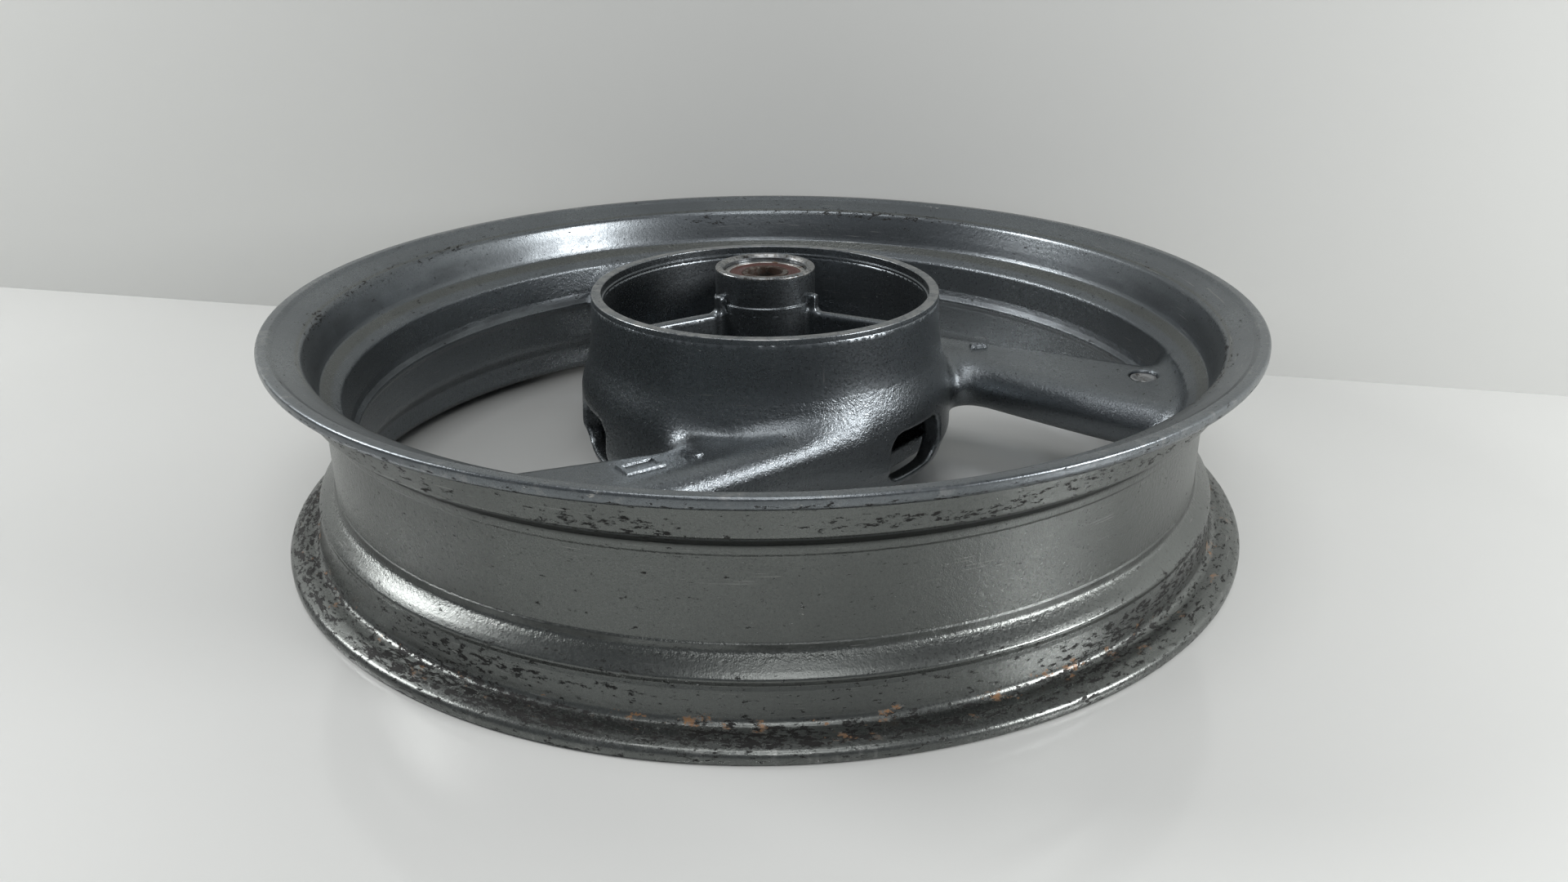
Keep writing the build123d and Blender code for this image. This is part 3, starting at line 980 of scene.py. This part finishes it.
@dataclass(frozen=True)
class HubAndSpokes:
    """The cup, skirt, ribs, boss, disc plate and the three swept spokes, as one rounded casting."""

    heading: float = -31.0
    middle: float = 51.8
    half_height: float = 13.3
    root_rise: float = 2.0
    flank: float = 12.6
    wall_fillet: float = 13.0
    wall_spread: float = 26.0
    wall_depth: float = 2.8
    wall_sink: float = 0.15
    outer_end: float = 204.0
    plate_radius: float = 82.0
    rib_azimuth: float = -28.0
    window_azimuth: float = -38.5
    window_half_width: float = 20.5
    window_floor: float = 64.0
    plug_radius: float = 6.6
    plug_reach: float = 186.0
    plug_azimuth: float = -4.5
    bolts: int = 5
    bolt_circle: float = 52.5
    bolt_radius: float = 3.4
    cell: float = 1.86

    @staticmethod
    def skirt(height: float) -> float:
        """Radius of the cup and its skirt at a height: nearly upright above, and flaring near 73."""
        return 84.0 + 0.05 * (107.3 - height) + 4.7 / (1 + math.exp((height - 73) / 5))

    @property
    def outer_side(self) -> Array:
        """Curve of a spoke's outer side, as its distance from the axle axis against the way along."""
        return np.polyfit((0, 60, 110, 160, 208), (90.5, 97.5, 101.5, 104.0, 105.5), 2)

    @property
    def inner_side(self) -> Array:
        """Curve of a spoke's inner side."""
        return np.polyfit((0, 60, 85, 110, 140, 165, 208), (68.0, 63.5, 59.5, 53.5, 48.0, 45.0, 42.5), 3)

    def fields(self) -> dict[str, SectionField]:
        """Works out the turned forms.

        Returns:
            The fields of the hub's forms and of the barrel's wall, by name.
        """
        sections = {
            "outer": [
                (0, 28.5), (86.6, 28.5), (88.0, 30.0), (89.8, 36.0), (91.7, 40.5),
                *((self.skirt(z), z) for z in np.linspace(44.0, 104.6, 31).tolist()),
                (83.3, 105.4), (0, 105.4),
            ],
            "cup": [
                (0, 61.5), (73.0, 61.5), (76.2, 62.6), (77.6, 66.0), (78.64, 102.0), (79.8, 102.7),
                (79.8, 120.0), (0, 120.0),
            ],
            "under": [(0, 0), (80.6, 0), (80.6, 31.0), (82.4, 43.0), (81.5, 51.0), (76.0, 56.5), (0, 56.5)],
            "boss": [(0, 13.5), (24.6, 13.5), (24.6, 99.3), (23.6, 100.2), (23.6, 104.0), (0, 104.0)],
            "bore": [
                (0, 0), (20.1, 0), (20.1, 28.5), (16.5, 28.5), (16.5, 102.6), (20.2, 102.6),
                (20.2, 122.0), (0, 122.0),
            ],
        }
        hub = {name: SectionField(corners, 130.0) for name, corners in sections.items()}
        return hub | {"wall": SectionField(RimBarrel().wall(), 216.0)}

    def spoke(self, index: int, x: Array, y: Array, z: Array) -> Array:
        """Shapes a spoke: a rounded bar whose sides sweep in along its heading.

        Args:
            index: The spoke's number.
            x: Places to the right of the axle.
            y: Places behind the axle.
            z: Heights.

        Returns:
            Distance to the spoke.
        """
        along, aside = toward(self.heading + index * TURN, x, y)
        outer = np.polyval(self.outer_side, np.clip(along, -30, 215))
        inner = np.polyval(self.inner_side, np.clip(along, -30, 215))
        near_hub = np.clip((92 - along) / 82, 0, 1)
        rise = self.root_rise * near_hub * near_hub * (3 - 2 * near_hub)
        fall = (0.8 - 3.2 * np.clip((outer - aside) / (outer - inner), 0, 1)) / 2
        bar = block(
            np.abs(aside - (outer + inner) / 2) - (outer - inner) / 2,
            np.abs(z - self.middle - fall) - self.half_height - fall - rise,
            corner=self.flank,
        )
        return remove(bar, along + 2, 10)

    def star(self, parts: dict[str, SectionField], x: Array, y: Array, z: Array) -> Array:
        """Joins the skirt and the spokes, and the spokes to the barrel's wall.

        Args:
            parts: The turned forms.
            x: Places to the right of the axle.
            y: Places behind the axle.
            z: Heights.

        Returns:
            Distance to the joined form.
        """
        r = np.hypot(x, y)
        hub = parts["outer"](r, z)
        form = hub
        spokes = np.full(r.shape, 1e3, dtype=np.float32)
        for index in range(SPOKES):
            spoke = self.spoke(index, x, y, z)
            spokes = np.minimum(spokes, spoke)
            crotch = np.clip((toward(self.heading + index * TURN, x, y)[0] - 56) / 22, 0, 1)
            form = np.minimum(form, merge(hub, spoke, 8 + 16 * crotch * crotch * (3 - 2 * crotch)))
        form = remove(form, parts["under"](r, z), 2)
        wall = parts["wall"](r, z) + self.wall_sink
        form = merge(form, np.maximum(wall, spokes - self.wall_spread), self.wall_fillet)
        return np.maximum(np.maximum(form, -(wall + self.wall_depth)), r - self.outer_end)

    def casting(self, parts: dict[str, SectionField], x: Array, y: Array, z: Array) -> Array:
        """Adds the disc plate, boss and ribs to the star and takes out the cup, windows and holes.

        Args:
            parts: The turned forms.
            x: Places to the right of the axle.
            y: Places behind the axle.
            z: Heights.

        Returns:
            Distance to the whole form inside the barrel.
        """
        r = np.hypot(x, y)
        form = self.star(parts, x, y, z)
        plate = r - self.plate_radius
        for index in range(SPOKES):
            ahead = toward(self.window_azimuth + index * TURN, x, y)[0]
            plate = np.maximum(plate, ahead - self.window_floor)
        form = merge(form, block(plate, np.abs(z - 25.5) - 5.5, corner=2), 5)
        form = merge(form, block(r - 62, np.abs(z - 21.75) - 9.25, corner=0.8), 3)
        form = remove(form, parts["cup"](r, z), 1.2)
        form = merge(form, parts["boss"](r, z), 3)
        for index in range(SPOKES):
            u, v = toward(self.rib_azimuth + index * TURN, x, y)
            rib = block(np.abs(u - 50) - 30.5, np.abs(v) - 2.5, np.abs(z - 78.3) - 20, corner=1.7)
            pilaster = block(np.abs(u - 24) - 3.9, np.abs(v) - 2.7, np.abs(z - 83) - 23.8, corner=1.0)
            form = merge(form, merge(rib, pilaster, 3), 2.2)
            u, v = toward(self.window_azimuth + index * TURN, x, y)
            sides = np.abs(v) - self.window_half_width
            form = remove(form, block(sides, np.abs(z - 44.75) - 11.75, 66 - u, corner=8.8), 2.2)
            u, v = toward(self.plug_azimuth + index * TURN, x, y)
            hole = block(np.hypot(u - self.plug_reach, v) - self.plug_radius, 61.6 - z, corner=0.2)
            form = remove(form, hole, 1.6)
        for index in range(self.bolts):
            u, v = toward(90 + index * 360 / self.bolts, x, y)
            hole = np.maximum(np.hypot(u - self.bolt_circle, v) - self.bolt_radius, z - 26.5)
            form = remove(form, hole, 0.8)
        return remove(form, parts["bore"](r, z), 0.5)

    def build(self, paint: Material) -> Piece:
        """Meshes the casting inside the barrel.

        Args:
            paint: Its finish.

        Returns:
            The casting.
        """
        field = partial(self.casting, self.fields())
        skin = Skin(field, (-208, -208, 10.4), (208, 208, 108), self.cell)
        points, faces, normals = skin.surface()
        piece = make_piece("hub_and_spokes", points, faces, paint)
        piece.data.normals_split_custom_set_from_vertices(normals.astype(np.float32))
        return seat_casting(piece)


@dataclass(frozen=True)
class TurnedEdges:
    """The machined mouth of the cup, and the machined nose and foot of the boss."""

    cup_top: float = 107.3
    boss_top: float = 117.6

    def build(self, paint: Material) -> None:
        """Turns the three rings.

        Args:
            paint: Their finish.
        """
        mouth = [
            (HubAndSpokes.skirt(self.cup_top), self.cup_top, 0.7),
            (HubAndSpokes.skirt(104.7) + 0.02, 104.7, 0.0), (83.0, 103.9, 0.0), (80.2, 101.6, 0.0),
            (78.63, 102.0, 0.0), (78.62, 103.2, 0.2), (79.3, 103.4, 0.2), (79.3, self.cup_top, 0.6),
        ]
        seat_casting(turned("cup_mouth", mouth, paint, 288))
        nose = [
            (24.05, self.boss_top, 1.0), (24.05, 102.9, 0.3), (24.66, 102.5, 0.3), (24.66, 99.2, 0.0),
            (23.2, 98.0, 0.0), (21.0, 98.0, 0.0), (20.05, 102.6, 0.0), (20.05, 116.2, 0.2),
            (21.3, self.boss_top, 0.2),
        ]
        seat_casting(turned("boss_nose", nose, paint, 192))
        foot = [
            (24.62, 13.5, 0.8), (21.2, 13.5, 0.2), (20.05, 14.8, 0.2), (20.05, 20.0, 0.0), (23.0, 20.0, 0.0),
            (24.7, 18.0, 0.0),
        ]
        seat_casting(turned("boss_foot", foot, paint, 192))


@dataclass(frozen=True)
class CastMark:
    """A small raised mark on top of a spoke, with a sunken middle."""

    name: str
    centre: Pair
    heading: float
    outline: tuple[Pair, ...]
    base: float
    height: float
    border: float

    def build(self, paint: Material) -> Piece:
        """Builds the mark from five outlines, from its buried foot to its sunken middle.

        Args:
            paint: Its finish.

        Returns:
            The mark.
        """
        shape = np.array(self.outline)
        middle = shape.mean(0)
        reach = np.abs(shape - middle).max(0)
        turn = math.radians(self.heading)
        spin = np.array(((math.cos(turn), math.sin(turn)), (-math.sin(turn), math.cos(turn))))
        spread, buried, edge, slope = 0.4, 1.6, 0.45, 0.35
        steps = (
            (-spread, -buried),
            (0.0, self.height * 0.5),
            (edge, self.height),
            (self.border, self.height),
            (self.border + slope, self.height * 0.3),
        )
        rows = []
        for inset, level in steps:
            ring = middle + (shape - middle) * (1 - inset / reach)
            flat = ring @ spin + np.array(self.centre)
            rows.append(np.column_stack((flat, np.full(len(flat), self.base + level))))
        count = len(shape)
        points = np.concatenate([*rows, [rows[-1].mean(0)], [rows[0].mean(0)]])
        last, foot = len(points) - 2, len(points) - 1
        start = last - count
        sides = [(i, (i + 1) % count) for i in range(count)]
        faces = [
            (row + i, row + j, row + count + j, row + count + i)
            for row in range(0, start, count)
            for i, j in sides
        ]
        faces += [(start + i, start + j, last) for i, j in sides]
        faces += [(j, i, foot) for i, j in sides]
        mesh = bpy.data.meshes.new(self.name)
        mesh.from_pydata([tuple(p * MM) for p in points], [], faces)
        piece = finished(mesh, paint)
        mesh.set_sharp_from_angle(angle=math.radians(50))
        return seat_casting(piece)


def arch(radius: float, steps: int = 10) -> tuple[Pair, ...]:
    """Outline of a half-moon, with its straight side on the left."""
    turns = [math.pi * (i / steps - 0.5) for i in range(steps + 1)]
    return tuple((radius * math.cos(t), radius * math.sin(t)) for t in turns)


@dataclass(frozen=True)
class CorePlugs:
    """Pressed, dished discs in the core holes of the spokes."""

    reach: float = 186.0
    azimuth: float = -4.5
    radius: float = 6.45
    top: float = 63.8

    def build(self, metal: Material) -> None:
        """Turns a dished disc for each spoke.

        Args:
            metal: Their finish.
        """
        for index in range(SPOKES):
            azimuth = math.radians(self.azimuth + index * TURN)
            centre = (self.reach * math.cos(azimuth), self.reach * math.sin(azimuth))
            dish = [
                (0.0, self.top - 0.75, 0.0), (3.4, self.top - 0.7, 1.5), (4.9, self.top - 0.05, 0.6),
                (self.radius, self.top - 0.05, 0.4), (self.radius, self.top - 1.6, 0.2),
                (4.4, self.top - 1.6, 0.2), (0.0, self.top - 1.6, 0.0),
            ]
            disc = turned(f"dished_plug_{index + 1}", dish, metal, 64, centre)
            seat(disc, Body.WHEEL, Slot.PLUG, f"core_plug_{index + 1}")


@dataclass(frozen=True)
class Bearing:
    """A sealed ball bearing: rounded rings, smooth balls and a moulded seal in its outer face."""

    side: str
    face: float
    inwards: int
    balls: Body
    width: float = 12.0
    ball_radius: float = 2.95
    pitch: float = 14.2
    count: int = 8

    def level(self, depth: float) -> float:
        """Height of a place at a depth under the bearing's outer face."""
        return self.face + self.inwards * depth

    def section(self, corners: Sequence[Corner]) -> list[Corner]:
        """Turns depths under the face into heights."""
        return [(r, self.level(depth), fillet) for r, depth, fillet in corners]

    def build(self, steel: Material, rusty: Material, rubber: Material) -> None:
        """Builds the rings, balls and seal.

        Args:
            steel: Finish of the outer ring and the balls.
            rusty: Finish of the inner ring.
            rubber: Finish of the seal.
        """
        outer = [(20.0, 0, 0.7), (20.0, self.width, 0.7), (17.2, self.width, 0.3), (17.2, 0, 0.3)]
        inner = [(11.2, 0, 0.4), (11.2, self.width, 0.4), (8.5, self.width, 0.6), (8.5, 0, 0.6)]
        lip = [
            (17.15, 0.42, 0.1), (16.3, 0.42, 0.1), (15.9, 0.8, 0.2), (13.2, 0.8, 0.3),
            (12.5, 0.5, 0.2), (11.3, 0.5, 0.1), (11.3, 1.35, 0.1), (17.15, 1.38, 0.1),
        ]
        name = f"{self.side}_bearing"
        for part, node, corners, finish, body, slot in (
            ("outer", "outer_ring", outer, steel, Body.WHEEL, Slot.STEEL),
            ("inner", "inner_ring", inner, rusty, Body.SLEEVE, Slot.STEEL),
            ("lip_seal", "seal", lip, rubber, Body.WHEEL, Slot.SEAL),
        ):
            ring = turned(f"{name}_{part}", self.section(corners), finish, 128)
            seat(ring, body, slot, f"{name}_{node}")
        work = bmesh.new()
        size = self.ball_radius * MM
        for index in range(self.count):
            turn = 2 * math.pi * index / self.count
            x, y = self.pitch * math.cos(turn), self.pitch * math.sin(turn)
            shift = Matrix.Translation(Vector((x, y, self.level(self.width / 2))) * MM)
            bmesh.ops.create_uvsphere(work, u_segments=24, v_segments=16, radius=size, matrix=shift)
        mesh = bpy.data.meshes.new(f"{name}_round_balls")
        work.to_mesh(mesh)
        work.free()
        seat(finished(mesh, steel), self.balls, Slot.STEEL, f"{name}_balls")


def dress_node(name: str, material: Material) -> None:
    """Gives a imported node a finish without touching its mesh.

    Args:
        name: The node.
        material: Its finish.
    """
    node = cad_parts[name]
    for entry in node.material_slots:
        entry.material = material
    if not node.material_slots:
        node.data.materials.append(material)
    LOG.info("%s: packed node dressed", name)


# The stage


@dataclass(frozen=True)
class Softbox:
    """A rectangular area lamp, in metres and watts."""

    name: str
    place: Place
    target: Place
    size: Pair
    power: float

    def build(self) -> None:
        """Hangs the lamp and points it at its target."""
        data = bpy.data.lights.new(self.name, "AREA")
        data.shape = "RECTANGLE"
        data.size, data.size_y = self.size
        data.energy = self.power
        place = Vector(self.place)
        aim = (Vector(self.target) - place).to_track_quat("-Z", "Y").to_matrix().to_4x4()
        in_scene(self.name, data).matrix_world = Matrix.Translation(place) @ aim


@dataclass(frozen=True)
class Studio:
    """Pale floor and wall, soft lamps and the camera at the photograph's angle, in metres."""

    floor_colour: Colour = (0.66, 0.665, 0.65)
    wall_colour: Colour = (0.62, 0.626, 0.608)
    wall_left: Place = (-0.5698, 0.3832, 0)
    wall_right: Place = (0.4769, 0.1232, 0)
    wall_spare: float = 3.0
    wall_height: float = 3.0
    floor_reach: float = 6.0
    sky: Colour = (0.9, 0.95, 1.0)
    sky_strength: float = 0.2
    camera_place: Place = (0.0, -0.58701, 0.27236)
    ahead: Place = (0.01396, 0.92160, -0.38788)
    right: Place = (0.99986, -0.01645, -0.00309)
    up: Place = (0.00923, 0.38779, 0.92170)
    lens: float = 28.556
    sensor: float = 36.0
    lamps: tuple[Softbox, ...] = (
        Softbox("overhead", (-0.1, -0.35, 1.5), (0, -0.1, 0.0), (0.9, 0.5), 5),
        Softbox("front_top", (0.1, -1.0, 1.05), (0, -0.05, 0.06), (0.5, 0.3), 2.5),
        Softbox("left_panel", (-1.13, 0.12, 0.78), (-0.1, -0.1, 0.03), (0.36, 0.36), 8),
        Softbox("right_panel", (1.0, -0.52, 0.43), (0.0, -0.05, 0.06), (0.42, 0.3), 8.5),
    )

    @staticmethod
    def plain(name: str, colour: Colour, rough: float, shine: float) -> Material:
        """Makes a plain pale surface with a faint cloud in it, clear when seen from its back.

        Args:
            name: The material's name.
            colour: Its mean colour.
            rough: Its mean roughness.
            shine: Its specular level.

        Returns:
            The material.
        """
        s = Shader(name)
        cloud = s.noise(3, 3)
        tint = s.blend(cloud, tuple(0.97 * c for c in colour), tuple(1.03 * c for c in colour))
        back = s.node("ShaderNodeNewGeometry", {}, {}).outputs["Backfacing"]
        clear = s.node("ShaderNodeBsdfTransparent", {}, {}).outputs[0]
        both = s.node("ShaderNodeMixShader", {}, {0: back, 1: s.surface.outputs[0], 2: clear}).outputs[0]
        output = next(n for n in s.tree.nodes if n.type == "OUTPUT_MATERIAL")
        s.tree.links.new(both, output.inputs["Surface"])
        return s.finish(Base_Color=tint, Roughness=rough + (cloud - 0.5) * 0.05, Specular_IOR_Level=shine)

    @staticmethod
    def sheet(name: str, corners: Sequence[Sequence[float]], material: Material) -> None:
        """Makes one flat piece of the stage.

        Args:
            name: Its name.
            corners: Its corners, in order.
            material: Its finish.
        """
        mesh = bpy.data.meshes.new(name)
        mesh.from_pydata(list(corners), [], [tuple(range(len(corners)))])
        mesh.materials.append(material)
        in_scene(name, mesh)

    def build(self) -> None:
        """Builds the floor, the wall, the lamps, the world and the camera."""
        far = self.floor_reach
        floor = self.plain("pale_floor", self.floor_colour, 0.12, 0.5)
        self.sheet("floor", [(-far, -far, 0), (far, -far, 0), (far, far, 0), (-far, far, 0)], floor)
        wall = self.plain("pale_wall", self.wall_colour, 0.5, 0.2)
        left, right = Vector(self.wall_left), Vector(self.wall_right)
        run = (right - left).normalized() * self.wall_spare
        left, right, top = left - run, right + run, Vector((0, 0, self.wall_height))
        self.sheet("wall", [left, right, right + top, left + top], wall)
        for lamp in self.lamps:
            lamp.build()
        world = bpy.data.worlds.new("soft_room")
        bpy.context.scene.world = world
        world.use_nodes = True
        background = world.node_tree.nodes["Background"]
        background.inputs["Color"].default_value = (*self.sky, 1)
        background.inputs["Strength"].default_value = self.sky_strength
        data = bpy.data.cameras.new("photo_camera")
        data.sensor_width = self.sensor
        data.lens = self.lens
        data.clip_start = 0.01
        camera = in_scene("photo_camera", data)
        rows = zip(self.right, self.up, [-a for a in self.ahead], self.camera_place)
        camera.matrix_world = Matrix([tuple(row) for row in rows] + [(0, 0, 0, 1)])
        bpy.context.scene.camera = camera
        bpy.context.scene.view_settings.view_transform = "Standard"


def main() -> None:
    """Builds every piece in order."""
    logging.basicConfig(level=logging.INFO, format="%(name)s: %(message)s")
    paint = PaintedCasting().build("silver_grey_paint")
    steel = WornMetal((0.46, 0.45, 0.43), (0.1, 0.055, 0.03), 0.13, 0.3).build("bearing_steel")
    rusty = WornMetal((0.13, 0.115, 0.1), (0.035, 0.018, 0.011), 0.22, 0.42).build("rusted_steel")
    plug = WornMetal((0.3, 0.305, 0.31), (0.07, 0.065, 0.06), 0.12, 0.33, 0.8).build("plug_metal")
    rubber = DullMoulding((0.06, 0.014, 0.009), (0.05, 0.024, 0.018), 0.5).build("seal_rubber")
    plastic = DullMoulding((0.56, 0.5, 0.38), (0.35, 0.3, 0.24), 0.5).build("cage_plastic")
    RimBarrel().build(paint)
    HubAndSpokes().build(paint)
    TurnedEdges().build(paint)
    rectangle = ((-9.0, -5.5), (9.0, -5.5), (9.0, 5.5), (-9.0, 5.5))
    small = ((-4.4, -1.8), (4.4, -1.8), (4.4, 1.8), (-4.4, 1.8))
    CastMark("raised_pad", (-51.9, -119.5), 33.0, rectangle, 64.3, 1.5, 2.0).build(paint)
    CastMark("half_moon", (-31.2, -106.1), -115.0, arch(5.2), 64.75, 1.2, 1.1).build(paint)
    CastMark("small_mark", (111.3, 30.8), 8.0, small, 64.8, 1.6, 1.0).build(paint)
    CorePlugs().build(plug)
    Bearing("sprocket", 114.6, -1, Body.UPPER_BALLS).build(steel, rusty, rubber)
    Bearing("disc", 16.5, 1, Body.LOWER_BALLS).build(steel, rusty, rubber)
    dress_node("sprocket_bearing_cage", plastic)
    dress_node("disc_bearing_cage", plastic)
    dress_node("distance_tube", steel)
    Studio().build()


if __name__ == "__main__":
    main()
